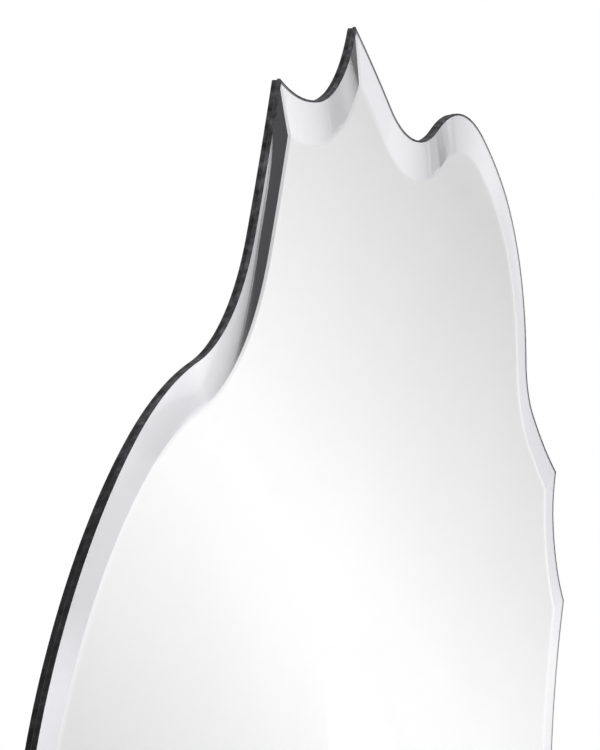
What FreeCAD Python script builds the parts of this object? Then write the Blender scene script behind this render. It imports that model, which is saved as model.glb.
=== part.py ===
import FreeCAD, Part
import Sketcher
import math
import os

# Frameless scalloped mirror on a batten frame with two ring hangers, in millimetres.
# +Z is up, the wall is the plane Y = 0 and the glass faces -Y. The origin is on the wall, midway
# between the points where the two raised rings bear on their hooks.

V = FreeCAD.Vector
doc = FreeCAD.newDocument("scalloped_mirror")

SIZES = {
    "mirror_width": 955,        # over the widest scallops; the height follows the outline
    "glass_thick": 3,
    "bevel_width": 25,          # measured square to the edge
    "bevel_drop": 1,            # glass ground away at the very edge
    "silver_thick": 0.1,
    "film_thick": 0.2,
    "board_thick": 3,
    "batten_thick": 12,
    "batten_width": 50,
    "batten_arris": 1.5,        # sanded rear edges
    "stile_spacing": 400,       # between the uprights' centre lines, and so between the rings
    "stile_length": 430,
    "stile_rise": 20,           # top of the uprights above the hanging line
    "bumper_rise": 8,           # gap between the battens and the wall
    "bumper_radius": 8,
    "bumper_margin": 10,        # lower bumpers' centres above the uprights' lower ends
    "bumper_offset": 30,        # upper bumpers' centres from the ends of the upper rail
    "wire_radius": 1.5,
    "eye_clearance": 0.3,       # wire in the eye, and ring over the plate
    "ring_reach": 16,           # from the bar's middle line to the inside corner that takes the hook
    "ring_play": 4.5,           # from the strap's edge to the middle of the ring's upper corner
    "strap_thick": 1.5,
    "strap_width": 16,
    "strap_length": 50,
    "strap_corner": 4,
    "curl_end": 50,             # degrees short of the strap where the curl stops
    "screw_first": 26,          # below the eye, clear of the hanging ring
    "screw_pitch": 17,
    "screw_radius": 1.75,
    "screw_length": 12,
    "screw_point": 3,
    "head_radius": 3.5,
    "head_height": 2.4,
    "head_edge": 1.2,           # straight rim
    "head_bevel": 1.1,          # the top's radius is this much smaller
    "recess_span": 3.6,
    "recess_slot": 0.9,
    "recess_depth": 1.4,
    "hole_clearance": 0.25,     # screw in the strap
    "pilot_clearance": 0.08,    # screw in the batten
}
sheet = doc.addObject("Spreadsheet::Sheet", "Sizes")
for row, (alias, size) in enumerate(SIZES.items(), 1):
    sheet.set(f"A{row}", alias)
    sheet.set(f"B{row}", str(size))
    sheet.setAlias(f"B{row}", alias)
doc.recompute()


def bind(thing, **formulas):
    """Bind properties to the sheet; a double underscore in a name stands for a dot."""
    for name, formula in formulas.items():
        thing.setExpression(name.replace("__", "."), formula)


def place(thing, x="0", y="0", z="0"):
    """Bind a sub-part's position to the sheet."""
    bind(thing, Placement__Base__x=x, Placement__Base__y=y, Placement__Base__z=z)


def dimension(sketch, kind, *refs, formula):
    """Add one driving dimension whose value comes from the sheet."""
    index = sketch.addConstraint(Sketcher.Constraint(kind, *refs))
    sketch.setExpression(f"Constraints[{index}]", formula)


def new_body(label):
    """A body whose Label names its file."""
    body = doc.addObject("PartDesign::Body", label)
    body.Label = label
    return body


def plane_sketch(body, name, role):
    """A sketch on one of the body's own origin planes."""
    sketch = body.newObject("Sketcher::SketchObject", name)
    plane = next(item for item in body.Origin.OriginFeatures if item.Role == role)
    sketch.AttachmentSupport = [(plane, "")]
    sketch.MapMode = "FlatFace"
    return sketch


# How far each layer's rear face stands in front of the wall, as formulas on the sheet
BATTEN_REAR = "Sizes.bumper_rise"
BOARD_REAR = f"({BATTEN_REAR} + Sizes.batten_thick)"
FILM_REAR = f"({BOARD_REAR} + Sizes.board_thick)"
SILVER_REAR = f"({FILM_REAR} + Sizes.film_thick)"
GLASS_REAR = f"({SILVER_REAR} + Sizes.silver_thick)"
GLASS_LAND = "(Sizes.glass_thick - Sizes.bevel_drop)"
EDGE_PLANE = f"({GLASS_REAR} + {GLASS_LAND})"

# Outline seen from the front, clockwise. Each run starts at a sharp tip with its heading in degrees,
# and goes on in tangent arcs through its points to the next run's tip.
RUNS = [
    (98, [(-484, -340), (-489, -202), (-445, -72), (-341, 31), (-258, 67), (-174, 133)]),
    (-19, [(-133, 219), (-71, 212)]),
    (-29, [(-3, 259), (64, 218), (160, 212), (261, 213), (306, 186), (366, 70), (383, 34)]),
    (-121, [(444, -7), (437, -45)]),
    (-117, [(465, -97), (434, -188)]),
    (-155, [(452, -308), (374, -380), (326, -465), (226, -540)]),
    (128, [(121, -558), (46, -520)]),
    (150, [(-64, -565), (-144, -525), (-224, -520), (-339, -502), (-389, -460), (-426, -392)]),
]


class EdgeArc:
    """One arc of the outline: its start, end, signed radius (left turn positive) and centre."""

    def __init__(self, start, end, heading, at_tip):
        chord = end - start
        half = math.remainder(math.atan2(chord.y, chord.x) - heading, 2 * math.pi)
        self.start = start
        self.end = end
        self.at_tip = at_tip
        self.radius = chord.Length / (2 * math.sin(half))
        self.inward = V(math.sin(heading), -math.cos(heading), 0)
        self.centre = start - self.inward * self.radius
        self.end_heading = heading + 2 * half

    def left(self):
        return self.radius > 0


def edge_arcs():
    """All arcs of the outline in order."""
    arcs = []
    for index, (heading, points) in enumerate(RUNS):
        following = RUNS[(index + 1) % len(RUNS)][1][0]
        stops = [V(x, z, 0) for x, z in points + [following]]
        turn = math.radians(heading)
        for start, end in zip(stops, stops[1:]):
            arcs.append(EdgeArc(start, end, turn, start == stops[0]))
            turn = arcs[-1].end_heading
    return arcs


def counter_clockwise(start, end, centre, radius, left):
    """Sketch arc between two points, drawn counter-clockwise whichever way the edge turns."""
    first, last = (start, end) if left else (end, start)
    angles = [math.atan2(p.y - centre.y, p.x - centre.x) for p in (first, last)]
    if angles[1] < angles[0]:
        angles[1] += 2 * math.pi
    return Part.ArcOfCircle(Part.Circle(centre, V(0, 0, 1), radius), *angles)


def crossing(one, other, inset, near):
    """Where two neighbouring arcs meet once both are moved inward: the mitre's inner corner."""
    span = other.centre - one.centre
    first, second = abs(one.radius + inset), abs(other.radius + inset)
    along = (span.Length ** 2 + first ** 2 - second ** 2) / (2 * span.Length)
    across = math.sqrt(first ** 2 - along ** 2)
    unit = span / span.Length
    square = V(-unit.y, unit.x, 0)
    spots = [one.centre + unit * along + square * across * side for side in (1, -1)]
    return min(spots, key=lambda spot: spot.distanceToPoint(near))


ARCS = edge_arcs()
DRAWN = [counter_clockwise(arc.start, arc.end, arc.centre, abs(arc.radius), arc.left()) for arc in ARCS]
DRAWN_WIDTH = Part.Wire([curve.toShape() for curve in DRAWN]).optimalBoundingBox().XLength
SCALE = SIZES["mirror_width"] / DRAWN_WIDTH


def edge_sketch(name, inset, inset_formula):
    """The outline, moved inward by the inset, standing up and facing the viewer.

    Smooth joins are fixed by the sheet, a tip's corner is where its two arcs meet.
    """
    sketch = doc.addObject("Sketcher::SketchObject", name)
    sketch.Placement.Rotation = FreeCAD.Rotation(V(1, 0, 0), 90)
    shift = inset / SCALE
    corners = []
    for index, arc in enumerate(ARCS):
        if arc.at_tip and inset:
            corners.append(crossing(ARCS[index - 1], arc, shift, arc.start))
        else:
            corners.append(arc.start + arc.inward * shift)
    count = len(ARCS)
    for index, arc in enumerate(ARCS):
        start, end, centre = (p * SCALE for p in (corners[index], corners[(index + 1) % count], arc.centre))
        radius = abs(arc.radius + shift) * SCALE
        sketch.addGeometry(counter_clockwise(start, end, centre, radius, arc.left()))
    for index, arc in enumerate(ARCS):
        before = (index - 1) % count
        head = 1 if arc.left() else 2
        tail = 2 if ARCS[before].left() else 1
        grow = 1 if arc.left() else -1
        sketch.addConstraint(Sketcher.Constraint("Coincident", before, tail, index, head))
        size = f"Sizes.mirror_width * ({abs(arc.radius) / DRAWN_WIDTH})"
        dimension(sketch, "Radius", index, abs(arc.radius + shift) * SCALE,
                  formula=f"{size} + {inset_formula} * ({grow})")
        if arc.at_tip and inset:
            continue
        for axis in "xy":
            spot, way = getattr(arc.start, axis), getattr(arc.inward, axis)
            dimension(sketch, f"Distance{axis.upper()}", -1, 1, index, head, (spot + way * shift) * SCALE,
                      formula=f"Sizes.mirror_width * ({spot / DRAWN_WIDTH}) + {inset_formula} * ({way})")
    if inset:
        # An arc that runs to a tip is held by its centre, along the direction that its join leaves free
        for index, arc in enumerate(ARCS):
            to_tip = ARCS[(index + 1) % count].at_tip
            if not (arc.at_tip or to_tip):
                continue
            join = arc.end if arc.at_tip else arc.start
            spoke = join - arc.centre
            axis = "x" if abs(spoke.y) > abs(spoke.x) else "y"
            spot = getattr(arc.centre, axis)
            dimension(sketch, f"Distance{axis.upper()}", -1, 1, index, 3, spot * SCALE,
                      formula=f"Sizes.mirror_width * ({spot / DRAWN_WIDTH})")
    return sketch


outline = edge_sketch("outline", 0, "0")
place(outline, y=f"-{EDGE_PLANE}")
bevel_line = edge_sketch("bevel_line", SIZES["bevel_width"], "Sizes.bevel_width")
place(bevel_line, y=f"-({EDGE_PLANE} + Sizes.bevel_drop)")


def layer(label, near, far):
    """A sheet with the mirror's outline, between two distances behind the outline's own plane."""
    sheet_layer = doc.addObject("Part::Extrusion", label)
    sheet_layer.Label = label
    sheet_layer.Base = outline
    sheet_layer.DirMode = "Normal"
    sheet_layer.Solid = True
    bind(sheet_layer, LengthFwd=f"-({near})", LengthRev=far)
    return sheet_layer


# Glass: a flat sheet with the bevel lofted in front of it, tip to tip, so the tips come out mitred
glass_land = layer("glass_land", "0", GLASS_LAND)
bevel = doc.addObject("Part::Loft", "bevel")
bevel.Sections = [outline, bevel_line]
bevel.Solid = True
bevel.Ruled = True
mirror_glass = doc.addObject("Part::Fuse", "mirror_glass")
mirror_glass.Base = glass_land
mirror_glass.Tool = bevel
mirror_glass.Refine = True

# Layers behind the glass, each as deep as the one before it ends
SILVER_END = f"{GLASS_LAND} + Sizes.silver_thick"
FILM_END = f"{SILVER_END} + Sizes.film_thick"
silver_coating = layer("silver_coating", GLASS_LAND, SILVER_END)
adhesive_film = layer("adhesive_film", SILVER_END, FILM_END)
backing_board = layer("backing_board", FILM_END, f"{FILM_END} + Sizes.board_thick")

EYE_OUTER = "(Sizes.wire_radius + Sizes.eye_clearance + Sizes.strap_thick)"
EYE_INNER = "(Sizes.wire_radius + Sizes.eye_clearance)"
BAR_HALF = "(Sizes.strap_width / 2 + Sizes.ring_play)"
# The ring's legs lean so that their inner sides meet at the reach, a wire's radius inside the upper corners
CORNER_AWAY = f"sqrt({BAR_HALF} ^ 2 + Sizes.ring_reach ^ 2)"
LEG_LEAN = f"(atan2({BAR_HALF}; Sizes.ring_reach) - asin(Sizes.wire_radius / {CORNER_AWAY}))"
LEG_LENGTH = f"{BAR_HALF} / sin({LEG_LEAN})"
RING_DEPTH = f"({BAR_HALF} / tan({LEG_LEAN}))"
SCREWS = [
    (SIZES["screw_first"], "Sizes.screw_first"),
    (SIZES["screw_first"] + SIZES["screw_pitch"], "(Sizes.screw_first + Sizes.screw_pitch)"),
]
STILE = "(Sizes.stile_spacing / 2)"
STILE_MIDDLE = "(Sizes.stile_rise - Sizes.stile_length / 2)"
UPPER_RAIL = "(Sizes.stile_rise - Sizes.batten_width / 2)"
LOWER_RAIL = "(Sizes.stile_rise - Sizes.stile_length + Sizes.batten_width / 2)"
SIDES = {"left": "-", "right": ""}


def edges_at(feature, test):
    """Names of a feature's straight edges that pass the test on their two end points."""
    names = []
    for index, edge in enumerate(feature.Shape.Edges, 1):
        ends = [vertex.Point for vertex in edge.Vertexes]
        if len(ends) == 2 and test(*ends):
            names.append(f"Edge{index}")
    return names


def circle(sketch, radius, radius_formula, height=0, height_formula="0"):
    """A circle on a sketch's upright axis, its radius and height bound to the sheet."""
    index = sketch.addGeometry(Part.Circle(V(0, height, 0), V(0, 0, 1), radius))
    dimension(sketch, "Radius", index, radius, formula=radius_formula)
    sketch.addConstraint(Sketcher.Constraint("PointOnObject", index, 3, -2))
    dimension(sketch, "DistanceY", -1, 1, index, 3, height, formula=height_formula)


def batten(label, length, pilots=()):
    """An upright batten, its front face on Y = 0 and its middle at the origin."""
    body = new_body(label)
    profile = plane_sketch(body, f"{label}_profile", "XY_Plane")
    half, deep = SIZES["batten_width"] / 2, SIZES["batten_thick"]
    corners = [V(-half, 0, 0), V(half, 0, 0), V(half, deep, 0), V(-half, deep, 0)]
    for start, end in zip(corners, corners[1:] + corners[:1]):
        profile.addGeometry(Part.LineSegment(start, end))
    for side in range(4):
        profile.addConstraint(Sketcher.Constraint("Coincident", side, 2, (side + 1) % 4, 1))
        profile.addConstraint(Sketcher.Constraint("Vertical" if side % 2 else "Horizontal", side))
    profile.addConstraint(Sketcher.Constraint("Symmetric", 0, 1, 0, 2, -1, 1))
    dimension(profile, "DistanceX", 0, 1, 0, 2, 2 * half, formula="Sizes.batten_width")
    dimension(profile, "DistanceY", 1, 1, 1, 2, deep, formula="Sizes.batten_thick")
    pad = body.newObject("PartDesign::Pad", f"{label}_pad")
    pad.Profile = profile
    pad.SideType = "Symmetric"
    bind(pad, Length=length)
    doc.recompute()
    rear = edges_at(pad, lambda a, b: abs(a.z - b.z) > deep and min(a.y, b.y) > deep / 2)
    arris = body.newObject("PartDesign::Chamfer", f"{label}_arris")
    arris.Base = (pad, rear)
    bind(arris, Size="Sizes.batten_arris")
    doc.recompute()
    if pilots:
        holes = plane_sketch(body, f"{label}_pilots", "XZ_Plane")
        bind(holes, AttachmentOffset__Base__z="-Sizes.batten_thick")
        bore = "Sizes.screw_radius + Sizes.pilot_clearance"
        for height, formula in pilots:
            circle(holes, SIZES["screw_radius"], bore, height, formula)
        drill = body.newObject("PartDesign::Pocket", f"{label}_drill")
        drill.Profile = holes
        drill.Reversed = True
        bind(drill, Length="Sizes.screw_length - Sizes.strap_thick + Sizes.pilot_clearance")
        doc.recompute()
        if drill.Shape.Volume >= arris.Shape.Volume:
            raise RuntimeError(f"{label}: the pilot holes cut nothing")
    return body


stile_middle = SIZES["stile_rise"] - SIZES["stile_length"] / 2
PILOTS = [(-SIZES["ring_reach"] - down - stile_middle, f"-Sizes.ring_reach - {formula} - {STILE_MIDDLE}")
          for down, formula in SCREWS]
subparts = [mirror_glass, silver_coating, adhesive_film, backing_board]
for side, sign in SIDES.items():
    stile = batten(f"{side}_batten", "Sizes.stile_length", PILOTS)
    place(stile, f"{sign}{STILE}", f"-{BOARD_REAR}", STILE_MIDDLE)
    subparts.append(stile)
for level, height in (("upper", UPPER_RAIL), ("lower", LOWER_RAIL)):
    rail = batten(f"{level}_batten", "Sizes.stile_spacing - Sizes.batten_width")
    rail.Placement.Rotation = FreeCAD.Rotation(V(0, 1, 0), 90)
    place(rail, "0", f"-{BOARD_REAR}", height)
    subparts.append(rail)


def hanger_plate(label):
    """A steel strap curled into an eye; the eye's axis is the body's own X axis."""
    body = new_body(label)
    strip = plane_sketch(body, f"{label}_strip", "YZ_Plane")
    inner = SIZES["wire_radius"] + SIZES["eye_clearance"]
    outer = inner + SIZES["strap_thick"]
    foot = -SIZES["strap_length"]
    stop = -math.radians(SIZES["curl_end"])
    along = V(math.cos(stop), math.sin(stop), 0)
    circles = [Part.Circle(V(0, 0, 0), V(0, 0, 1), radius) for radius in (outer, inner)]
    strip.addGeometry([
        Part.LineSegment(V(-outer, foot, 0), V(-outer, 0, 0)),
        Part.ArcOfCircle(circles[0], stop, math.pi),
        Part.LineSegment(along * outer, along * inner),
        Part.ArcOfCircle(circles[1], stop, math.pi),
        Part.LineSegment(V(-inner, 0, 0), V(-inner, foot, 0)),
        Part.LineSegment(V(-inner, foot, 0), V(-outer, foot, 0)),
    ])
    for refs in ((0, 2, 1, 2), (1, 1, 2, 1), (2, 2, 3, 1), (3, 2, 4, 1), (4, 2, 5, 1), (5, 2, 0, 1),
                 (1, 3, -1, 1), (3, 3, -1, 1)):
        strip.addConstraint(Sketcher.Constraint("Coincident", *refs))
    for line in (0, 4):
        strip.addConstraint(Sketcher.Constraint("Vertical", line))
    strip.addConstraint(Sketcher.Constraint("Horizontal", 5))
    for refs in ((1, 2), (3, 2)):
        strip.addConstraint(Sketcher.Constraint("PointOnObject", *refs, -1))
    strip.addConstraint(Sketcher.Constraint("PointOnObject", -1, 1, 2))
    dimension(strip, "Radius", 1, outer, formula=EYE_OUTER)
    dimension(strip, "Radius", 3, inner, formula=EYE_INNER)
    dimension(strip, "DistanceY", 0, 1, 0, 2, -foot, formula="Sizes.strap_length")
    dimension(strip, "Angle", 1, math.pi - stop, formula="180 + Sizes.curl_end")
    pad = body.newObject("PartDesign::Pad", f"{label}_pad")
    pad.Profile = strip
    pad.SideType = "Symmetric"
    bind(pad, Length="Sizes.strap_width")
    doc.recompute()
    ends = edges_at(pad, lambda a, b: abs(a.y - b.y) > inner / 2 and max(a.z, b.z) < foot / 2)
    corners = body.newObject("PartDesign::Fillet", f"{label}_corners")
    corners.Base = (pad, ends)
    bind(corners, Radius="Sizes.strap_corner")
    doc.recompute()
    holes = plane_sketch(body, f"{label}_holes", "XZ_Plane")
    bore = "Sizes.screw_radius + Sizes.hole_clearance"
    for down, formula in SCREWS:
        circle(holes, SIZES["screw_radius"], bore, -down, f"-{formula}")
    punch = body.newObject("PartDesign::Pocket", f"{label}_punch")
    punch.Profile = holes
    punch.SideType = "Symmetric"
    bind(punch, Length=f"4 * {EYE_OUTER}")
    doc.recompute()
    if punch.Shape.Volume >= corners.Shape.Volume:
        raise RuntimeError(f"{label}: the screw holes cut nothing")
    return body


def hanger_ring(label):
    """A wire triangle hanging down from its bar, which lies along X with its middle at the origin.

    Each straight stretch of the wire starts in a tight round corner and runs on to the next one.
    """
    stretches = {
        "bar": (f"-{BAR_HALF}", "0", "90 deg", f"2 * {BAR_HALF}"),
        "right_leg": (BAR_HALF, "0", f"180 deg + {LEG_LEAN}", LEG_LENGTH),
        "left_leg": ("0", f"-{RING_DEPTH}", f"-{LEG_LEAN}", LEG_LENGTH),
    }
    wire = []
    for name, (x, z, turn, length) in stretches.items():
        stretch = doc.addObject("Part::Cylinder", f"{label}_{name}")
        stretch.Placement.Rotation = FreeCAD.Rotation(V(0, 1, 0), 90)
        bind(stretch, Radius="Sizes.wire_radius", Height=length, Placement__Rotation__Angle=turn)
        corner = doc.addObject("Part::Sphere", f"{label}_{name}_corner")
        corner.Placement.Rotation = FreeCAD.Rotation(V(1, 0, 0), 90)
        bind(corner, Radius="Sizes.wire_radius")
        for piece in (stretch, corner):
            place(piece, x, "0", z)
            wire.append(piece)
    ring = doc.addObject("Part::MultiFuse", label)
    ring.Label = label
    ring.Shapes = wire
    return ring


def pan_screw(name):
    """A pan-head screw along Y, its head seat on Y = 0 and its point towards -Y."""
    body = doc.addObject("PartDesign::Body", name)
    section = plane_sketch(body, f"{name}_section", "XY_Plane")
    shank, head = SIZES["screw_radius"], SIZES["head_radius"]
    top, rim = SIZES["head_height"], SIZES["head_edge"]
    tip = -SIZES["screw_length"]
    shoulder = tip + SIZES["screw_point"]
    crown = head - SIZES["head_bevel"]
    stops = [V(0, tip, 0), V(shank, shoulder, 0), V(shank, 0, 0), V(head, 0, 0), V(head, rim, 0),
             V(crown, top, 0), V(0, top, 0)]
    count = len(stops)
    for start, end in zip(stops, stops[1:] + stops[:1]):
        section.addGeometry(Part.LineSegment(start, end))
    for side in range(count):
        section.addConstraint(Sketcher.Constraint("Coincident", side, 2, (side + 1) % count, 1))
    for side, way in ((1, "Vertical"), (2, "Horizontal"), (3, "Vertical"), (5, "Horizontal")):
        section.addConstraint(Sketcher.Constraint(way, side))
    for refs in ((0, 1, -2), (6, 1, -2), (2, 1, -1)):
        section.addConstraint(Sketcher.Constraint("PointOnObject", *refs))
    dimension(section, "DistanceX", -1, 1, 1, 1, shank, formula="Sizes.screw_radius")
    dimension(section, "DistanceX", -1, 1, 3, 1, head, formula="Sizes.head_radius")
    dimension(section, "DistanceX", -1, 1, 5, 1, crown, formula="Sizes.head_radius - Sizes.head_bevel")
    dimension(section, "DistanceY", 3, 1, 3, 2, rim, formula="Sizes.head_edge")
    dimension(section, "DistanceY", -1, 1, 6, 1, top, formula="Sizes.head_height")
    dimension(section, "DistanceY", 0, 1, -1, 1, -tip, formula="Sizes.screw_length")
    dimension(section, "DistanceY", 0, 1, 0, 2, shoulder - tip, formula="Sizes.screw_point")
    turned = body.newObject("PartDesign::Revolution", f"{name}_turned")
    turned.Profile = section
    turned.ReferenceAxis = (section, ["V_Axis"])
    turned.Angle = 360
    doc.recompute()
    cross = plane_sketch(body, f"{name}_cross", "XZ_Plane")
    bind(cross, AttachmentOffset__Base__z="-Sizes.head_height")
    far, slot = SIZES["recess_span"] / 2, SIZES["recess_slot"] / 2
    lobe = [V(far, -slot, 0), V(far, slot, 0), V(slot, slot, 0)]
    stops = [FreeCAD.Rotation(V(0, 0, 1), 90 * quarter).multVec(p) for quarter in range(4) for p in lobe]
    count = len(stops)
    for start, end in zip(stops, stops[1:] + stops[:1]):
        cross.addGeometry(Part.LineSegment(start, end))
    for side, spot in enumerate(stops):
        cross.addConstraint(Sketcher.Constraint("Coincident", side, 2, (side + 1) % count, 1))
        cross.addConstraint(Sketcher.Constraint("Horizontal" if side % 2 else "Vertical", side))
        kind, reach = ("DistanceY", spot.y) if side % 2 else ("DistanceX", spot.x)
        size = "recess_slot" if abs(reach) < (far + slot) / 2 else "recess_span"
        dimension(cross, kind, -1, 1, side, 1, reach, formula=f"Sizes.{size} * ({math.copysign(0.5, reach)})")
    recess = body.newObject("PartDesign::Pocket", f"{name}_recess")
    recess.Profile = cross
    recess.Reversed = True
    bind(recess, Length="Sizes.recess_depth")
    doc.recompute()
    if recess.Shape.Volume >= turned.Shape.Volume:
        raise RuntimeError(f"{name}: the recess cuts nothing")
    return body


def bumper(label):
    """A round rubber pad, its glued face on Y = 0 and its free end towards +Y."""
    pad = doc.addObject("Part::Cylinder", label)
    pad.Label = label
    pad.Placement.Rotation = FreeCAD.Rotation(V(1, 0, 0), -90)
    bind(pad, Radius="Sizes.bumper_radius", Height="Sizes.bumper_rise")
    return pad


EYE_PLANE = f"-(Sizes.bumper_rise - {EYE_OUTER})"
UPPER_BUMPER = f"({STILE} - Sizes.batten_width / 2 - Sizes.bumper_offset)"
LOWER_BUMPER = "Sizes.stile_rise - Sizes.stile_length + Sizes.bumper_margin"
screws = []
for side, sign in SIDES.items():
    across = f"{sign}{STILE}"
    for piece in (hanger_plate(f"hanger_plate_{side}"), hanger_ring(f"hanger_ring_{side}")):
        place(piece, across, EYE_PLANE, "-Sizes.ring_reach")
        subparts.append(piece)
    for number, (down, formula) in enumerate(SCREWS, 1):
        screw = pan_screw(f"screw_{side}_{number}")
        place(screw, across, "-Sizes.bumper_rise + Sizes.strap_thick", f"-Sizes.ring_reach - {formula}")
        screws.append(screw)
    for level, reach, height in (("upper", UPPER_BUMPER, UPPER_RAIL), ("lower", STILE, LOWER_BUMPER)):
        pad = bumper(f"bumper_{level}_{side}")
        place(pad, f"{sign}{reach}", f"-{BATTEN_REAR}", height)
        subparts.append(pad)
hanger_screws = doc.addObject("Part::Compound", "hanger_screws")
hanger_screws.Links = screws
subparts.append(hanger_screws)

doc.recompute()
for thing in doc.Objects:
    if "Invalid" in thing.State or "Error" in thing.State:
        raise RuntimeError(f"{thing.Label}: {thing.State}")
os.makedirs("parts", exist_ok=True)
for piece in subparts:
    if piece.Shape.isNull() or not piece.Shape.isValid():
        raise RuntimeError(f"{piece.Label}: the shape is not valid")
    piece.Shape.exportStep(f"parts/{piece.Label}.step")
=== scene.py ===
import math

import bmesh
import bpy
from mathutils import Matrix, Vector


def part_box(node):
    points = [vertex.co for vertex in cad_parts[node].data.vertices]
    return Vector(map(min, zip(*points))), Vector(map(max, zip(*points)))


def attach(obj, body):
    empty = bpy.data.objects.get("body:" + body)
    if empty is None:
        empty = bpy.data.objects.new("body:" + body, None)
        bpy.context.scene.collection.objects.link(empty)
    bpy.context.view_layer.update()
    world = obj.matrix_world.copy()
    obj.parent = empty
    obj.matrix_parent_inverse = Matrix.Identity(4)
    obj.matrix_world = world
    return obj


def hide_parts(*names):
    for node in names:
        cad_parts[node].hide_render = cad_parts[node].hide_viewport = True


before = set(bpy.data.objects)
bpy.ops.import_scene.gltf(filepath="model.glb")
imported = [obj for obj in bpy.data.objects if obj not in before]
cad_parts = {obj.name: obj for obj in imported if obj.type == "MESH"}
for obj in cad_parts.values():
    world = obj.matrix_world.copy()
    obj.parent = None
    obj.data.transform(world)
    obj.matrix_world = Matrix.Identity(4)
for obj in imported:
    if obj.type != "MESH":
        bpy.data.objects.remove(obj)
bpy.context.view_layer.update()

# Mirror glass: one sheet of 3 mm float glass, cut to a free-form scalloped outline. Its border is ground and
# polished to a wide bevel that meets in a mitre at each tip. The rim below the bevel is ground matt and
# sealed black.
MM = 0.001
# The outline runs clockwise from tip to tip: a run's heading at its tip, in degrees, and then the points, in
# millimetres, that its tangent arcs pass through
RUNS = [
    (98, [(-484, -340), (-489, -202), (-445, -72), (-341, 31), (-258, 67), (-174, 133)]),
    (-19, [(-133, 219), (-71, 212)]),
    (-29, [(-3, 259), (64, 218), (160, 212), (261, 213), (306, 186), (366, 70), (383, 34)]),
    (-121, [(444, -7), (437, -45)]),
    (-117, [(465, -97), (434, -188)]),
    (-155, [(452, -308), (374, -380), (326, -465), (226, -540)]),
    (128, [(121, -558), (46, -520)]),
    (150, [(-64, -565), (-144, -525), (-224, -520), (-339, -502), (-389, -460), (-426, -392)]),
]
OUTLINE_STEP = 1.2 * MM
BEVEL_WIDTH = 25 * MM
BEVEL_DROP = 0.85 * MM
BEVEL_RINGS = 12
BEVEL_ARRIS = 0.25 * MM
RIM_ARRIS = 1.3 * MM
RIM_ARRIS_DROP = 0.4 * MM
# On the upper left flank the bevel is a trace deeper and rounded, and its arris is narrower. That comes in
# above the foot and left of the right limit, and it goes again towards the tip.
FLANK_DROP = 0.93 * MM
FLANK_ROUND = 0.39
FLANK_ARRIS = 0.3 * MM
FLANK_FOOT, FLANK_RISE = -10 * MM, 70 * MM
FLANK_RIGHT, FLANK_FADE = -40 * MM, 80 * MM
TIP_ROUND = 0.12
TIP_FROM, TIP_RISE = 155 * MM, 45 * MM
TIP_ARRIS_FROM, TIP_ARRIS_RISE = 185 * MM, 15 * MM
glass_low, glass_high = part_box("mirror_glass")


def linear(code):
    """An sRGB hex colour as linear red, green, blue and alpha."""
    parts = [int(code[i:i + 2], 16) / 255 for i in (1, 3, 5)]
    return [c / 12.92 if c <= 0.04045 else ((c + 0.055) / 1.055) ** 2.4 for c in parts] + [1.0]


def add_node(tree, kind, sockets=(), **settings):
    """One node: a setting named like a socket goes there, others to the node, and sockets fill in order."""
    node = tree.nodes.new(kind)
    filled = list(zip(node.inputs, sockets))
    for name, value in settings.items():
        target = node.inputs.get(name.replace("_", " "))
        if target is None:
            setattr(node, name, value)
        else:
            filled.append((target, value))
    for target, value in filled:
        if isinstance(value, bpy.types.NodeSocket):
            tree.links.new(value, target)
        elif value is not None:
            target.default_value = value
    return node


def new_material(name, kind="ShaderNodeBsdfPrincipled", **settings):
    """A node material with one shader, whose own sockets take the settings."""
    material = bpy.data.materials.new(name)
    material.use_nodes = True
    tree = material.node_tree
    tree.nodes.clear()
    shader = add_node(tree, kind, **settings)
    add_node(tree, "ShaderNodeOutputMaterial", Surface=shader.outputs[0])
    return material, tree, shader


def wander(tree, patch, stretch=(1, 1, 1), detail=4):
    """A number that wanders between 0 and 1 in patches of a size in metres."""
    where = add_node(tree, "ShaderNodeTexCoord")
    stretched = add_node(tree, "ShaderNodeMapping", Vector=where.outputs["Object"], Scale=stretch)
    noise = add_node(tree, "ShaderNodeTexNoise", Vector=stretched.outputs["Vector"], Scale=1 / patch,
                     Detail=detail)
    return noise.outputs["Fac"]


def ramp_through(tree, value, stops):
    """A colour that goes with the value through a hex colour at each stop."""
    ramp = add_node(tree, "ShaderNodeValToRGB", Fac=value)
    while len(ramp.color_ramp.elements) < len(stops):
        ramp.color_ramp.elements.new(0.5)
    for element, (stop, code) in zip(ramp.color_ramp.elements, stops.items()):
        element.position = stop
        element.color = linear(code)
    return ramp.outputs["Color"]


def mixed(tree, share, first, second, blend_type="MIX"):
    """Two colours mixed by a share; a Mix node has five other sockets before those for colours."""
    sockets = [share] + [None] * 5 + [first, second]
    return add_node(tree, "ShaderNodeMix", sockets, data_type="RGBA", blend_type=blend_type).outputs[2]


def mottled_material(name, patch, stops, **settings):
    """A material whose colour wanders through the stops."""
    material, tree, shader = new_material(name, **settings)
    tree.links.new(ramp_through(tree, wander(tree, patch), stops), shader.inputs["Base Color"])
    return material


SCUFF = 5 * MM
# Heights over which an edge goes from its darker lower tone to its lighter, painted-light upper tone
LIT_ABOVE_FROM, LIT_ABOVE_FULL = -20 * MM, 60 * MM


def scuffed_material_lit_above(name, lower_stops, upper_stops, **settings):
    """A scuffed edge, whose colour goes from the darker lower to the lighter upper stops near the middle's
    height: painted light on the upper part.
    """
    material, tree, shader = new_material(name, **settings)
    lower, upper = (ramp_through(tree, wander(tree, SCUFF, detail=6), stops)
                    for stops in (lower_stops, upper_stops))
    where = add_node(tree, "ShaderNodeTexCoord")
    place = add_node(tree, "ShaderNodeSeparateXYZ", Vector=where.outputs["Object"])
    rise = add_node(tree, "ShaderNodeMapRange", interpolation_type="SMOOTHSTEP", Value=place.outputs["Z"],
                    From_Min=LIT_ABOVE_FROM, From_Max=LIT_ABOVE_FULL)
    tree.links.new(mixed(tree, rise.outputs["Result"], lower, upper), shader.inputs["Base Color"])
    return material


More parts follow.
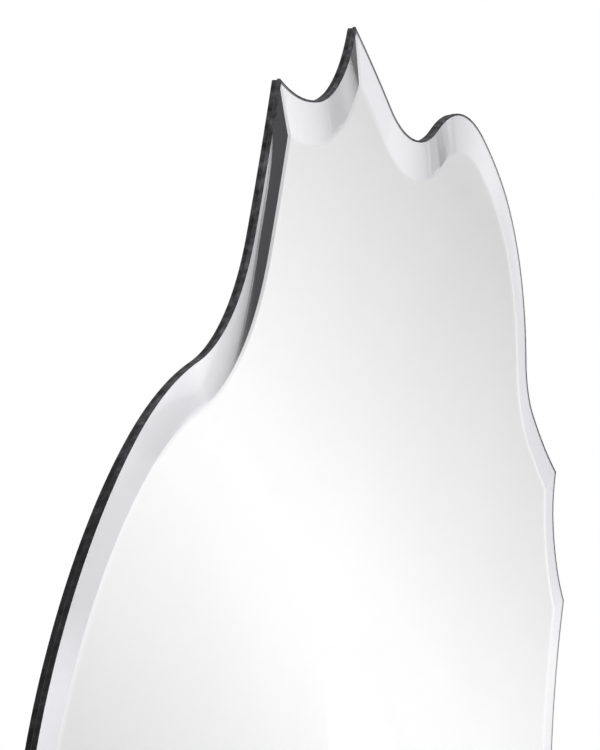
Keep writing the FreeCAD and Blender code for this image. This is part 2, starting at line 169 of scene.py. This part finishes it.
def outline_arcs(scale):
    """The outline's arcs in order; a left turn has a positive radius."""
    arcs = []
    for index, (heading, points) in enumerate(RUNS):
        stops = [Vector(p) * scale for p in points + [RUNS[(index + 1) % len(RUNS)][1][0]]]
        turn = math.radians(heading)
        for place, (start, end) in enumerate(zip(stops, stops[1:])):
            chord = end - start
            half = math.remainder(math.atan2(chord.y, chord.x) - turn, 2 * math.pi)
            radius = chord.length / (2 * math.sin(half))
            inward = Vector((math.sin(turn), -math.cos(turn)))
            arcs.append({"start": start, "centre": start - inward * radius, "radius": radius,
                         "inward": inward, "sweep": 2 * half, "tip": place == 0})
            turn += 2 * half
    return arcs


def corner(arcs, index, inset):
    """An arc's start once moved inward: square to a smooth join, or where a tip's two arcs meet."""
    arc, before = arcs[index % len(arcs)], arcs[index - 1]
    if not arc["tip"]:
        return arc["start"] + arc["inward"] * inset
    span = arc["centre"] - before["centre"]
    first, second = abs(before["radius"] + inset), abs(arc["radius"] + inset)
    along = (span.length ** 2 + first ** 2 - second ** 2) / (2 * span.length)
    across = math.sqrt(max(first ** 2 - along ** 2, 0))
    unit = span.normalized()
    spots = [before["centre"] + unit * along + Vector((-unit.y, unit.x)) * across * side for side in (1, -1)]
    return min(spots, key=lambda spot: (spot - arc["start"]).length)


def outline_ring(arcs, inset, depth):
    """Points along the outline moved inward, at one depth, and the numbers of those at tips."""
    ring, tips = [], set()
    for index, arc in enumerate(arcs):
        centre = arc["centre"]
        begin, finish = (math.atan2(*(corner(arcs, i, inset) - centre).yx) for i in (index, index + 1))
        turn = math.remainder(finish - begin, 2 * math.pi)
        radius = abs(arc["radius"] + inset)
        count = math.ceil(abs(arc["radius"] * arc["sweep"]) / OUTLINE_STEP)
        if arc["tip"]:
            tips.add(len(ring))
        for number in range(count):
            angle = begin + turn * number / count
            across, up = radius * math.cos(angle), radius * math.sin(angle)
            ring.append(Vector((centre.x + across, depth, centre.y + up)))
    return ring, tips


drawn = [point.x for point in outline_ring(outline_arcs(MM), 0, 0)[0]]
ARCS = outline_arcs(MM * (glass_high.x - glass_low.x) / (max(drawn) - min(drawn)))
TIPS = outline_ring(ARCS, 0, 0)[1]


def outline_solid(name, rings, smooth_levels=()):
    """A closed solid through rings of the outline, rear to front; a ring's edges are sharp unless smooth."""
    count = len(rings[0])
    last = (len(rings) - 1) * count
    faces = [tuple(range(count))]
    for low in range(0, last, count):
        for i in range(count):
            j = (i + 1) % count
            faces.append((low + j, low + i, low + count + i, low + count + j))
    faces.append(tuple(reversed(range(last, last + count))))
    mesh = bpy.data.meshes.new(name)
    mesh.from_pydata([point for ring in rings for point in ring], [], faces)
    mesh.polygons.foreach_set("use_smooth", [True] * len(mesh.polygons))
    sharp = mesh.attributes.new("sharp_edge", "BOOLEAN", "EDGE")
    for edge in mesh.edges:
        (level, spot), (other, _) = (divmod(vertex, count) for vertex in edge.vertices)
        sharp.data[edge.index].value = level not in smooth_levels if level == other else spot in TIPS
    piece = bpy.data.objects.new(name, mesh)
    bpy.context.scene.collection.objects.link(piece)
    return piece


def bevel_insets(arris):
    """Insets of the bevel's rings from its arris at the rim to its fold with the flat."""
    fold = BEVEL_WIDTH - 2 * BEVEL_ARRIS
    slope = [arris + (fold - arris) * ring / BEVEL_RINGS for ring in range(BEVEL_RINGS)]
    return slope + [BEVEL_WIDTH + BEVEL_ARRIS * part for part in (-2, -1, 1, 2)]


def eased(value, start, length):
    """0 at the start and 1 a length further on, with a soft rise between them."""
    held = min(max((value - start) / length, 0), 1)
    return held * held * (3 - 2 * held)


def bevel_ring(inset, flank_inset):
    """A ring of the bevel or of the flat inside it, with its own inset and form on the upper left flank."""
    ring, narrow = (outline_ring(ARCS, moved, 0)[0] for moved in (inset, flank_inset))
    for number, (point, other) in enumerate(zip(ring, narrow)):
        flank = eased(point.z, FLANK_FOOT, FLANK_RISE) * eased(-point.x, -FLANK_RIGHT, FLANK_FADE)
        near = flank * (1 - eased(point.z, TIP_ARRIS_FROM, TIP_ARRIS_RISE))
        share = max(0, 1 - (inset + (flank_inset - inset) * near) / BEVEL_WIDTH)
        rounding = FLANK_ROUND + (TIP_ROUND - FLANK_ROUND) * eased(point.z, TIP_FROM, TIP_RISE)
        drop = BEVEL_DROP + (FLANK_DROP * (1 + rounding * (1 - share)) - BEVEL_DROP) * flank
        ring[number] = point.lerp(other, near) + Vector((0, glass_low.y + drop * share, 0))
    return ring


rim_depths = (glass_high.y, glass_low.y + FLANK_DROP + RIM_ARRIS_DROP)
rim_rings = [outline_ring(ARCS, 0, depth)[0] for depth in rim_depths]
bevel_rings = [bevel_ring(*insets) for insets in zip(bevel_insets(RIM_ARRIS), bevel_insets(FLANK_ARRIS))]
glass_rings = rim_rings + bevel_rings
glass = outline_solid("glass_sheet", glass_rings, smooth_levels=range(len(rim_rings) + 1, len(glass_rings)))
POLISHED = {"Roughness": 0.0, "IOR": 1.52, "Transmission_Weight": 1.0}
MELT_PATCH = 160 * MM
# Clear float glass, polished: colourless, with the faintest green wander from the melt
clear_glass = mottled_material("clear_float_glass", MELT_PATCH, {0.35: "#FCFDFC", 0.65: "#FEFEFE"},
                               **POLISHED)
# Ground glass under black sealer: matt and nearly black, with grey scuffs a few millimetres long, and painted
# lighter towards the top as painted light on the upper rim
sealed_rim = scuffed_material_lit_above("sealed_ground_glass", {0.4: "#151517", 0.6: "#242426", 0.75: "#3C3C3E"},
                              {0.3: "#232325", 0.5: "#3C3C3F", 0.7: "#5A5A5D"}, Roughness=0.7,
                              Specular_IOR_Level=0.15)
# Bevelled glass: the same glass, with a painted violet tint in patches in its colour, which stands in for the
# white light that its slope splits
bevel_glass_painted_violet = mottled_material("bevelled_float_glass_painted_violet", MELT_PATCH, {0.35: "#FAF9FD", 0.65: "#FCFBFE"},
                               **POLISHED)
for material in (clear_glass, sealed_rim, bevel_glass_painted_violet):
    glass.data.materials.append(material)
sealed_faces = len(rim_rings) * len(rim_rings[0])
for face in glass.data.polygons[1:-1]:
    face.material_index = 1 if face.index <= sealed_faces else 2
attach(glass, "mirror")
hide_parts("mirror_glass")

# Silvering: chemical silver laid wet on the back of the glass, with its protective paint behind it. It stands
# a little way into the glass here, so that the two never share a face, and stops just short of the rim.
SILVER_SINK = 0.05 * MM
SILVER_MARGIN = 0.2 * MM
silver_low, silver_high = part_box("silver_coating")
silver_rings = [outline_ring(ARCS, SILVER_MARGIN, face.y - SILVER_SINK)[0]
                for face in (silver_high, silver_low)]
silver = outline_solid("silver_layer", silver_rings)
# Silver behind glass: a perfect mirror, a touch cooler or warmer over a few hundred millimetres
SILVER_PATCH = 330 * MM
silvering = mottled_material("chemical_silver", SILVER_PATCH, {0.35: "#F6F6F6", 0.65: "#F8F8F8"},
                             Metallic=1.0, Roughness=0.0)
silver.data.materials.append(silvering)
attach(silver, "mirror")
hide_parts("silver_coating")

# Adhesive film: grey contact adhesive rolled between the silver's paint and the board. It stops short of the
# rim, where it shows as a dark groove.
FILM_MARGIN = 0.4 * MM
film_low, film_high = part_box("adhesive_film")
film_rings = [outline_ring(ARCS, FILM_MARGIN, face.y)[0] for face in (film_high, film_low)]
film = outline_solid("adhesive_layer", film_rings)
# Dried contact adhesive: rubbery, dull and uneven from one lump to the next
LUMP = 8 * MM
adhesive = mottled_material("contact_adhesive", LUMP, {0.35: "#3A3A3C", 0.65: "#565658"}, Roughness=0.6)
film.data.materials.append(adhesive)
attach(film, "mirror")
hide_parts("adhesive_film")

# Backing board: 3 mm fibreboard routed to the glass's outline, its back edge eased, and painted black on the
# rim and the back. The glass is glued to its front.
BOARD_ARRIS = 0.4 * MM
BOARD_MARGIN = 0.5 * MM
board_low, board_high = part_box("backing_board")
board_levels = [(BOARD_MARGIN + BOARD_ARRIS, board_high.y), (BOARD_MARGIN, board_high.y - BOARD_ARRIS),
                (BOARD_MARGIN, board_low.y)]
board = outline_solid("painted_board", [outline_ring(ARCS, *level)[0] for level in board_levels])
BLACK_MATT = {"Roughness": 0.75, "Specular_IOR_Level": 0.2}
CLOUD = 90 * MM
PEEL = 2 * MM


def roughen(tree, shader, height, strength, depth):
    """Fine relief of a depth in metres on a shader."""
    bump = add_node(tree, "ShaderNodeBump", Height=height, Strength=strength, Distance=depth)
    tree.links.new(bump.outputs["Normal"], shader.inputs["Normal"])


# Black emulsion on pressed fibre: matt, rolled on in soft clouds, with a fine orange peel
black_paint, tree, shader = new_material("black_painted_fibreboard", **BLACK_MATT)
clouds = ramp_through(tree, wander(tree, CLOUD, detail=8), {0.35: "#101011", 0.5: "#161617", 0.68: "#1F1F21"})
tree.links.new(clouds, shader.inputs["Base Color"])
roughen(tree, shader, wander(tree, PEEL), strength=0.25, depth=0.1 * MM)
# The board's routed edge: thin black paint over fibre, rubbed grey in spots, and painted lighter towards the
# top as painted light on the upper edge
worn_paint_lit_above = scuffed_material_lit_above("worn_black_edge_lit_above", {0.35: "#060607", 0.5: "#19191B", 0.7: "#2B2B2E"},
                              {0.35: "#101011", 0.5: "#2B2B2D", 0.7: "#48484B"}, **BLACK_MATT)
board.data.materials.append(black_paint)
board.data.materials.append(worn_paint_lit_above)
for face in board.data.polygons[1:-1]:
    face.material_index = 1
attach(board, "mirror")
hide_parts("backing_board")

# Batten frame: four lengths of raw 12 mm fibreboard, butted together and glued to the board. All edges are
# eased with sandpaper, so that a fine groove shows at each joint.
BATTEN_EASE = 0.5 * MM
EASE_STEPS = 2
SHARP_FROM = math.radians(30)
FLAT_WITHIN = math.radians(0.5)
SAME_POINT = 0.002 * MM


def eased_copy(node, name, ease):
    """A merged copy of a CAD node's mesh with its edges softened."""
    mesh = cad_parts[node].data.copy()
    mesh.name = name
    mesh.materials.clear()
    solid = bmesh.new()
    solid.from_mesh(mesh)
    bmesh.ops.remove_doubles(solid, verts=solid.verts, dist=SAME_POINT)
    bmesh.ops.dissolve_limit(solid, angle_limit=FLAT_WITHIN, verts=solid.verts, edges=solid.edges)
    solid.to_mesh(mesh)
    solid.free()
    mesh.polygons.foreach_set("use_smooth", [True] * len(mesh.polygons))
    mesh.set_sharp_from_angle(angle=SHARP_FROM)
    piece = bpy.data.objects.new(name, mesh)
    bpy.context.scene.collection.objects.link(piece)
    soften = piece.modifiers.new("ease", "BEVEL")
    soften.width = ease
    soften.segments = EASE_STEPS
    soften.limit_method = "ANGLE"
    soften.angle_limit = SHARP_FROM
    soften.harden_normals = True
    return piece


# Raw fibreboard: pressed tan fibres, finely flecked over broad shade changes, dry and slightly furry
FLECK = 0.9 * MM
FLECK_STRETCH = (1, 1, 0.6)
SHADE = 70 * MM
raw_board, tree, shader = new_material("raw_fibreboard", Roughness=0.9, Specular_IOR_Level=0.25)
fibres = wander(tree, FLECK, FLECK_STRETCH, detail=8)
flecks = ramp_through(tree, fibres, {0.3: "#987C58", 0.5: "#AE916A", 0.7: "#BEA37B"})
shade = ramp_through(tree, wander(tree, SHADE), {0.35: "#D8D0C8", 0.65: "#FFFFFF"})
tree.links.new(mixed(tree, 1.0, flecks, shade, "MULTIPLY"), shader.inputs["Base Color"])
roughen(tree, shader, fibres, strength=0.3, depth=0.15 * MM)
for place in ("left", "right", "upper", "lower"):
    batten = eased_copy(f"{place}_batten", f"{place}_raw_batten", BATTEN_EASE)
    batten.data.materials.append(raw_board)
    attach(batten, "mirror")
    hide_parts(f"{place}_batten")

# Hanger straps: strips of 1.5 mm steel, curled into an eye at the top, punched for two screws and plated with
# bright zinc. They lie on the uprights.
STRAP_EASE = 0.25 * MM
SMOOTHEST, ROUGHEST = 0.24, 0.46


def zinc(name, grain, stretch):
    """Bright zinc plate: pale cool grey metal with streaks from the plating bath and fine rub marks."""
    material, tree, shader = new_material(name, Metallic=1.0)
    streak = wander(tree, grain, stretch, detail=6)
    plate = ramp_through(tree, streak, {0.3: "#9C9C9B", 0.5: "#B4B4B5", 0.7: "#C8C8CB"})
    tree.links.new(plate, shader.inputs["Base Color"])
    rubbed = add_node(tree, "ShaderNodeMapRange", Value=streak, To_Min=SMOOTHEST, To_Max=ROUGHEST)
    tree.links.new(rubbed.outputs["Result"], shader.inputs["Roughness"])
    return material


zinc_strap = zinc("zinc_plated_strap", grain=3 * MM, stretch=(1, 1, 0.12))
for side in ("left", "right"):
    strap = eased_copy(f"hanger_plate_{side}", f"{side}_strap", STRAP_EASE)
    strap.data.materials.append(zinc_strap)
    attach(strap, "mirror")
    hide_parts(f"hanger_plate_{side}")

# Rings: 3 mm steel wire bent to a triangle, which swings in the strap's eye and hangs on a wall hook. The
# bends are tight, so that the straight bar is longer than the eye is wide.
WIRE_RADIUS = 1.5 * MM
RING_BEND = 2.2 * MM
WIRE_SIDES = 20
BEND_STEPS = 10
QUARTER_TURN = math.pi / 2


def new_tree(name, *labels):
    """A geometry node tree with a number input for each label, and what its input node gives out."""
    tree = bpy.data.node_groups.new(name, "GeometryNodeTree")
    for way in ("INPUT", "OUTPUT"):
        tree.interface.new_socket("Geometry", in_out=way, socket_type="NodeSocketGeometry")
    for label in labels:
        tree.interface.new_socket(label, in_out="INPUT", socket_type="NodeSocketFloat")
    return tree, add_node(tree, "NodeGroupInput").outputs


def finish_tree(tree, points, shape, material, turn=(0, 0, 0)):
    """Close a tree with a turned copy of the shape at each point, in one material."""
    copies = add_node(tree, "GeometryNodeInstanceOnPoints", Points=points, Instance=shape, Rotation=turn)
    plain = add_node(tree, "GeometryNodeRealizeInstances", Geometry=copies.outputs[0])
    painted = add_node(tree, "GeometryNodeSetMaterial", Geometry=plain.outputs[0], Material=material)
    add_node(tree, "NodeGroupOutput", sockets=(painted.outputs[0],))


def grown(name, tree, points, **sizes):
    """A plain mesh object from what the tree makes of the points."""
    seed = bpy.data.objects.new(name, bpy.data.meshes.new(name))
    seed.data.from_pydata(points, [], [])
    bpy.context.scene.collection.objects.link(seed)
    nodes = seed.modifiers.new("grow", "NODES")
    nodes.node_group = tree
    for item in tree.interface.items_tree:
        if item.in_out == "INPUT" and item.name in sizes:
            nodes[item.identifier] = sizes[item.name]
    made = bpy.data.meshes.new_from_object(seed.evaluated_get(bpy.context.evaluated_depsgraph_get()))
    seed.modifiers.remove(nodes)
    seed.data = made
    made.name = name
    made.polygons.foreach_set("use_smooth", [True] * len(made.polygons))
    made.set_sharp_from_angle(angle=SHARP_FROM)
    return seed


# A triangle in a circle of radius 1, with its point down, is scaled to the bar's length and the ring's depth
UNIT_BAR = math.sqrt(3)
UNIT_DEPTH = 1.5
zinc_wire = zinc("zinc_plated_wire", grain=4 * MM, stretch=(0.4, 1, 0.4))
tree, size = new_tree("bent_wire_triangle", "Bar", "Depth", "Bend", "Wire")
triangle = add_node(tree, "GeometryNodeCurvePrimitiveCircle", Resolution=3, Radius=1.0)
upright = add_node(tree, "GeometryNodeTransform", Geometry=triangle.outputs[0],
                   Rotation=(QUARTER_TURN, QUARTER_TURN, 0))
wide = add_node(tree, "ShaderNodeMath", operation="DIVIDE", sockets=(size["Bar"], UNIT_BAR))
tall = add_node(tree, "ShaderNodeMath", operation="DIVIDE", sockets=(size["Depth"], UNIT_DEPTH))
scale = add_node(tree, "ShaderNodeCombineXYZ", X=wide.outputs[0], Y=1.0, Z=tall.outputs[0])
scaled = add_node(tree, "GeometryNodeTransform", Geometry=upright.outputs[0], Scale=scale.outputs[0])
bends = add_node(tree, "GeometryNodeFilletCurve", mode="POLY", Curve=scaled.outputs[0], Count=BEND_STEPS,
                 Radius=size["Bend"])
section = add_node(tree, "GeometryNodeCurvePrimitiveCircle", Resolution=WIRE_SIDES, Radius=size["Wire"])
wire = add_node(tree, "GeometryNodeCurveToMesh", Curve=bends.outputs[0], Profile_Curve=section.outputs[0])
finish_tree(tree, size["Geometry"], wire.outputs[0], zinc_wire)
for side in ("left", "right"):
    ring_low, ring_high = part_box(f"hanger_ring_{side}")
    bar = ring_high.x - ring_low.x - 2 * WIRE_RADIUS
    depth = ring_high.z - ring_low.z - 2 * WIRE_RADIUS
    bar_middle = Vector(((ring_low.x + ring_high.x) / 2, (ring_low.y + ring_high.y) / 2,
                         ring_high.z - WIRE_RADIUS))
    # The circle's middle is a third of the triangle's depth below the bar
    ring = grown(f"{side}_wire_ring", tree, [bar_middle - Vector((0, 0, depth / 3))], Bar=bar, Depth=depth,
                 Bend=RING_BEND, Wire=WIRE_RADIUS)
    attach(ring, f"{side}_ring")
    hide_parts(f"hanger_ring_{side}")

# Screws: four equal zinc plated wood screws with cross-recessed pan heads. Two hold each strap, and they are
# driven into the uprights.
HEAD_RADIUS = 3.5 * MM
HEAD_HEIGHT = 2.4 * MM
HEAD_CROWN = 1.6 * MM
SHANK_RADIUS = 1.75 * MM
RECESS_SPAN = 3.6 * MM
RECESS_SLOT = 0.9 * MM
RECESS_DEPTH = 1.4 * MM
TURNED_SIDES = 32
CROWN_STEPS = 6
AXIS_RADIUS = 0.001 * MM
AXIS_MERGE = 0.005 * MM
SHOULDER_NUMBER, NUMBER_WITHIN = 2.0, 0.1


def turned(tree, radius, height, edge):
    """A disc turned about Z from Z = 0 down, with a rounded lower rim."""
    reach = add_node(tree, "ShaderNodeCombineXYZ", X=radius)
    shoulder = add_node(tree, "ShaderNodeCombineXYZ", X=radius, Y=height)
    top = add_node(tree, "ShaderNodeCombineXYZ", Y=height)
    outline = add_node(tree, "GeometryNodeCurvePrimitiveQuadrilateral", mode="POINTS", Point_1=(0, 0, 0),
                       Point_2=reach.outputs[0], Point_3=shoulder.outputs[0], Point_4=top.outputs[0])
    opened = add_node(tree, "GeometryNodeSetSplineCyclic", Geometry=outline.outputs[0], Cyclic=False)
    number = add_node(tree, "GeometryNodeInputIndex")
    at_shoulder = add_node(tree, "ShaderNodeMath", operation="COMPARE",
                           sockets=(number.outputs[0], SHOULDER_NUMBER, NUMBER_WITHIN))
    rounding = add_node(tree, "ShaderNodeMath", operation="MULTIPLY", sockets=(at_shoulder.outputs[0], edge))
    profile = add_node(tree, "GeometryNodeFilletCurve", mode="POLY", Curve=opened.outputs[0],
                       Count=CROWN_STEPS, Radius=rounding.outputs[0])
    axis = add_node(tree, "GeometryNodeCurvePrimitiveCircle", Resolution=TURNED_SIDES, Radius=AXIS_RADIUS)
    swept = add_node(tree, "GeometryNodeCurveToMesh", Curve=axis.outputs[0], Profile_Curve=profile.outputs[0])
    closed = add_node(tree, "GeometryNodeMergeByDistance", Geometry=swept.outputs[0], Distance=AXIS_MERGE)
    return closed.outputs[0]


zinc_screw = zinc("zinc_plated_screw", grain=2 * MM, stretch=(1, 1, 1))
tree, size = new_tree("pan_head_screw", "Head", "Height", "Crown", "Shank", "Length", "Span", "Slot",
                      "Recess")
head = turned(tree, size["Head"], size["Height"], size["Crown"])
twice = add_node(tree, "ShaderNodeMath", operation="MULTIPLY", sockets=(size["Recess"], 2.0))
lobes = [add_node(tree, "ShaderNodeCombineXYZ", sockets=(long, short, twice.outputs[0]))
         for long, short in ((size["Span"], size["Slot"]), (size["Slot"], size["Span"]))]
cutters = [add_node(tree, "GeometryNodeMeshCube", Size=lobe.outputs[0]) for lobe in lobes]
cross = add_node(tree, "GeometryNodeMeshBoolean", operation="UNION", solver="EXACT")
for cutter in cutters:
    tree.links.new(cutter.outputs["Mesh"], cross.inputs["Mesh 2"])
drop = add_node(tree, "ShaderNodeMath", operation="MULTIPLY", sockets=(size["Height"], -1.0))
at_top = add_node(tree, "ShaderNodeCombineXYZ", Z=drop.outputs[0])
placed = add_node(tree, "GeometryNodeTransform", Geometry=cross.outputs[0], Translation=at_top.outputs[0])
recessed = add_node(tree, "GeometryNodeMeshBoolean", operation="DIFFERENCE", solver="EXACT")
tree.links.new(head, recessed.inputs["Mesh 1"])
tree.links.new(placed.outputs[0], recessed.inputs["Mesh 2"])
shank = add_node(tree, "GeometryNodeMeshCone", Vertices=TURNED_SIDES, Radius_Top=0.0,
                 Radius_Bottom=size["Shank"], Depth=size["Length"])
screw = add_node(tree, "GeometryNodeJoinGeometry")
for geometry in (shank.outputs["Mesh"], recessed.outputs[0]):
    tree.links.new(geometry, screw.inputs[0])
finish_tree(tree, size["Geometry"], screw.outputs[0], zinc_screw, turn=(QUARTER_TURN, 0, 0))
screws_low, screws_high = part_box("hanger_screws")
seat = screws_high.y - HEAD_HEIGHT
seats = [(x, seat, z) for x in (screws_low.x + HEAD_RADIUS, screws_high.x - HEAD_RADIUS)
         for z in (screws_low.z + HEAD_RADIUS, screws_high.z - HEAD_RADIUS)]
screws = grown("pan_head_screws", tree, seats, Head=HEAD_RADIUS, Height=HEAD_HEIGHT, Crown=HEAD_CROWN,
               Shank=SHANK_RADIUS, Length=seat - screws_low.y, Span=RECESS_SPAN, Slot=RECESS_SLOT,
               Recess=RECESS_DEPTH)
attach(screws, "mirror")
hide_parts("hanger_screws")

# Bumpers: four moulded rubber pads with a rounded rim, glued to the battens. They keep the rings' thickness
# clear of the wall.
PAD_EDGE = 1.5 * MM
# Moulded rubber: black and dull, with spots of grey bloom
BLOOM = 4 * MM
rubber = mottled_material("moulded_rubber", BLOOM, {0.35: "#141415", 0.65: "#262627"}, Roughness=0.8,
                          Specular_IOR_Level=0.3)
tree, size = new_tree("rubber_pad", "Radius", "Height", "Edge")
pad = turned(tree, size["Radius"], size["Height"], size["Edge"])
finish_tree(tree, size["Geometry"], pad, rubber, turn=(QUARTER_TURN, 0, 0))
pad_nodes = [f"bumper_{level}_{side}" for level in ("upper", "lower") for side in ("left", "right")]
pad_boxes = [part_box(node) for node in pad_nodes]
pad_seats = [((low.x + high.x) / 2, low.y, (low.z + high.z) / 2) for low, high in pad_boxes]
pad_low, pad_high = pad_boxes[0]
pads = grown("rubber_pads", tree, pad_seats, Radius=(pad_high.x - pad_low.x) / 2,
             Height=pad_high.y - pad_low.y, Edge=PAD_EDGE)
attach(pads, "mirror")
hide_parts(*pad_nodes)

# Studio: white surroundings, a pale floor below the mirror that fades into the white, and soft cards out of
# the picture that only the mirror sees. The camera stands far to the left, level, at the photograph's angle.
FLOOR_LEVEL = -0.6
FLOOR_HALF = 1.6
FLOOR_SOLID, FLOOR_GONE = 0.3 * FLOOR_HALF, 0.98 * FLOOR_HALF
scene = bpy.context.scene
scene.view_settings.view_transform = "Standard"
world = bpy.data.worlds.new("white_studio")
world.use_nodes = True
surroundings = world.node_tree.nodes["Background"].inputs
surroundings["Color"].default_value = linear("#FFFFFF")
surroundings["Strength"].default_value = 1.0
scene.world = world


def fade_out(tree, shader, spot, solid, gone):
    """Let a material thin out to nothing between two distances of a spot from the middle."""
    away = add_node(tree, "ShaderNodeVectorMath", operation="LENGTH", sockets=(spot,))
    fade = add_node(tree, "ShaderNodeMapRange", interpolation_type="SMOOTHSTEP", Value=away.outputs["Value"],
                    From_Min=solid, From_Max=gone)
    clear = add_node(tree, "ShaderNodeBsdfTransparent")
    faded = add_node(tree, "ShaderNodeMixShader",
                     sockets=(fade.outputs["Result"], shader.outputs[0], clear.outputs[0]))
    tree.links.new(faded.outputs[0], tree.nodes["Material Output"].inputs["Surface"])


def studio_sheet(name, half_width, half_height, material):
    """A flat rectangle in its own XY plane that belongs to the studio."""
    x, y = half_width, half_height
    mesh = bpy.data.meshes.new(name)
    mesh.from_pydata([(-x, -y, 0), (x, -y, 0), (x, y, 0), (-x, y, 0)], [], [(0, 1, 2, 3)])
    mesh.materials.append(material)
    sheet = bpy.data.objects.new(name, mesh)
    scene.collection.objects.link(sheet)
    return sheet


# Pale paper floor, which thins out to the white of the surroundings towards its border
pale, tree, shader = new_material("pale_paper_floor", Base_Color=linear("#F0F0F0"), Roughness=0.8)
where = add_node(tree, "ShaderNodeTexCoord")
fade_out(tree, shader, where.outputs["Object"], FLOOR_SOLID, FLOOR_GONE)
floor = studio_sheet("floor", FLOOR_HALF, FLOOR_HALF, pale)
floor.location.z = FLOOR_LEVEL

# The camera's place, direction and lens are fitted to the mirror's outline in the photograph
EYE = Vector((-1.9028, -0.6457, 0.060))
LOOK = Vector((0.9455, 0.3256, 0)).normalized()
LENS_MM, SENSOR_MM = 168, 36
NEAREST, FARTHEST = 0.01, 100
camera = bpy.data.objects.new("camera", bpy.data.cameras.new("camera"))
camera.data.lens = LENS_MM
camera.data.sensor_width = SENSOR_MM
camera.data.clip_start = NEAREST
camera.data.clip_end = FARTHEST
camera.location = EYE
camera.rotation_mode = "QUATERNION"
camera.rotation_quaternion = LOOK.to_track_quat("-Z", "Y")
scene.collection.objects.link(camera)
scene.camera = camera

# The flat turns the camera's line of sight off along the bounce, from the place in the middle of the picture
BOUNCE = Vector((LOOK.x, -LOOK.y, 0))
seen_middle = EYE + LOOK * ((glass_low.y - EYE.y) / LOOK.y)


def soft_card(name, half, place, tones, facing=BOUNCE, strength=1.0, slant=(1, 0, 0), lean=0, solid=0.5):
    """A light card that only mirrors see, solid up to a share of its half sizes and then fading to an oval.
    Its place is in metres along the level line it faces, across it and above it. Each tone is keyed by metres
    from the middle along the slant, and the lean is in degrees."""
    half_width, half_height = half
    glow, tree, light = new_material(f"{name}_cloth", "ShaderNodeEmission", Strength=strength)
    spot = add_node(tree, "ShaderNodeTexCoord").outputs["Object"]
    along = add_node(tree, "ShaderNodeVectorMath", operation="DOT_PRODUCT", sockets=(spot, slant))
    low, high = min(tones), max(tones)
    share = add_node(tree, "ShaderNodeMapRange", Value=along.outputs["Value"], From_Min=low, From_Max=high)
    stops = {(metres - low) / (high - low): tone for metres, tone in tones.items()}
    tree.links.new(ramp_through(tree, share.outputs["Result"], stops), light.inputs["Color"])
    oval = add_node(tree, "ShaderNodeMapping", Vector=spot, Scale=(1 / half_width, 1 / half_height, 0))
    fade_out(tree, light, oval.outputs["Vector"], solid, 1.0)
    card = studio_sheet(name, half_width, half_height, glow)
    right, up = Vector((-facing.y, facing.x, 0)), Vector((0, 0, 1))
    axes = Matrix((facing, right, up)).transposed()
    turn = Matrix((right, up, right.cross(up))).transposed().to_4x4()
    centre = seen_middle + axes @ Vector(place)
    card.matrix_world = Matrix.Translation(centre) @ turn @ Matrix.Rotation(math.radians(lean), 4, "Z")
    card.visible_camera = False
    card.visible_diffuse = False
    card.visible_shadow = False


def even(tone):
    """The tones of a card of one colour."""
    return {-1: tone, 1: tone}


# The side card is what the mirror's flat shows at the photograph's angle: white across the middle, greyer up
# to the right and down to the left. The front card does the same for someone who stands before the mirror.
SLANT = (0.829, 0.559, 0)
SIDE_TONES = {-0.465: "#DCDCDC", -0.18: "#FBFBFB", -0.12: "#FDFDFD", -0.06: "#FBFBFB", 0.285: "#D4D4D4",
              0.36: "#DEDEE0", 0.45: "#FFFFFF"}
soft_card("side_card", half=(2.4, 2.4), place=(2.2, 0, 0), tones=SIDE_TONES, strength=1.13, slant=SLANT)
FRONT_TONES = {-0.9: "#8E8E91", -0.2: "#F6F6F6", 0.05: "#F8F8F8", 0.9: "#98989B"}
soft_card("front_card", half=(3, 2.5), place=(3, 0.1, 0), tones=FRONT_TONES, facing=Vector((0, -1, 0)),
          strength=1.1, slant=SLANT)
# Three grey flags darken what the bevel shows on the left flank, at its foot and along the right side, and a
# low light brightens it at the lower left
soft_card("flank_flag", half=(0.113, 0.237), place=(1.224, -0.19, 0.24), tones=even("#B4B4B8"), solid=0.86)
soft_card("foot_flag", half=(0.03, 0.065), place=(1.224, -0.155, -0.002), tones=even("#D6D6DA"), lean=-54)
soft_card("right_flag", half=(0.024, 0.23), place=(1.0, 0.221, -0.025), tones=even("#9A9AA0"), lean=8)
soft_card("low_light", half=(0.036, 0.16), place=(1.2, 0.074, -0.40), tones=even("#FDFDFF"), strength=1.43,
          lean=15, solid=0.4)
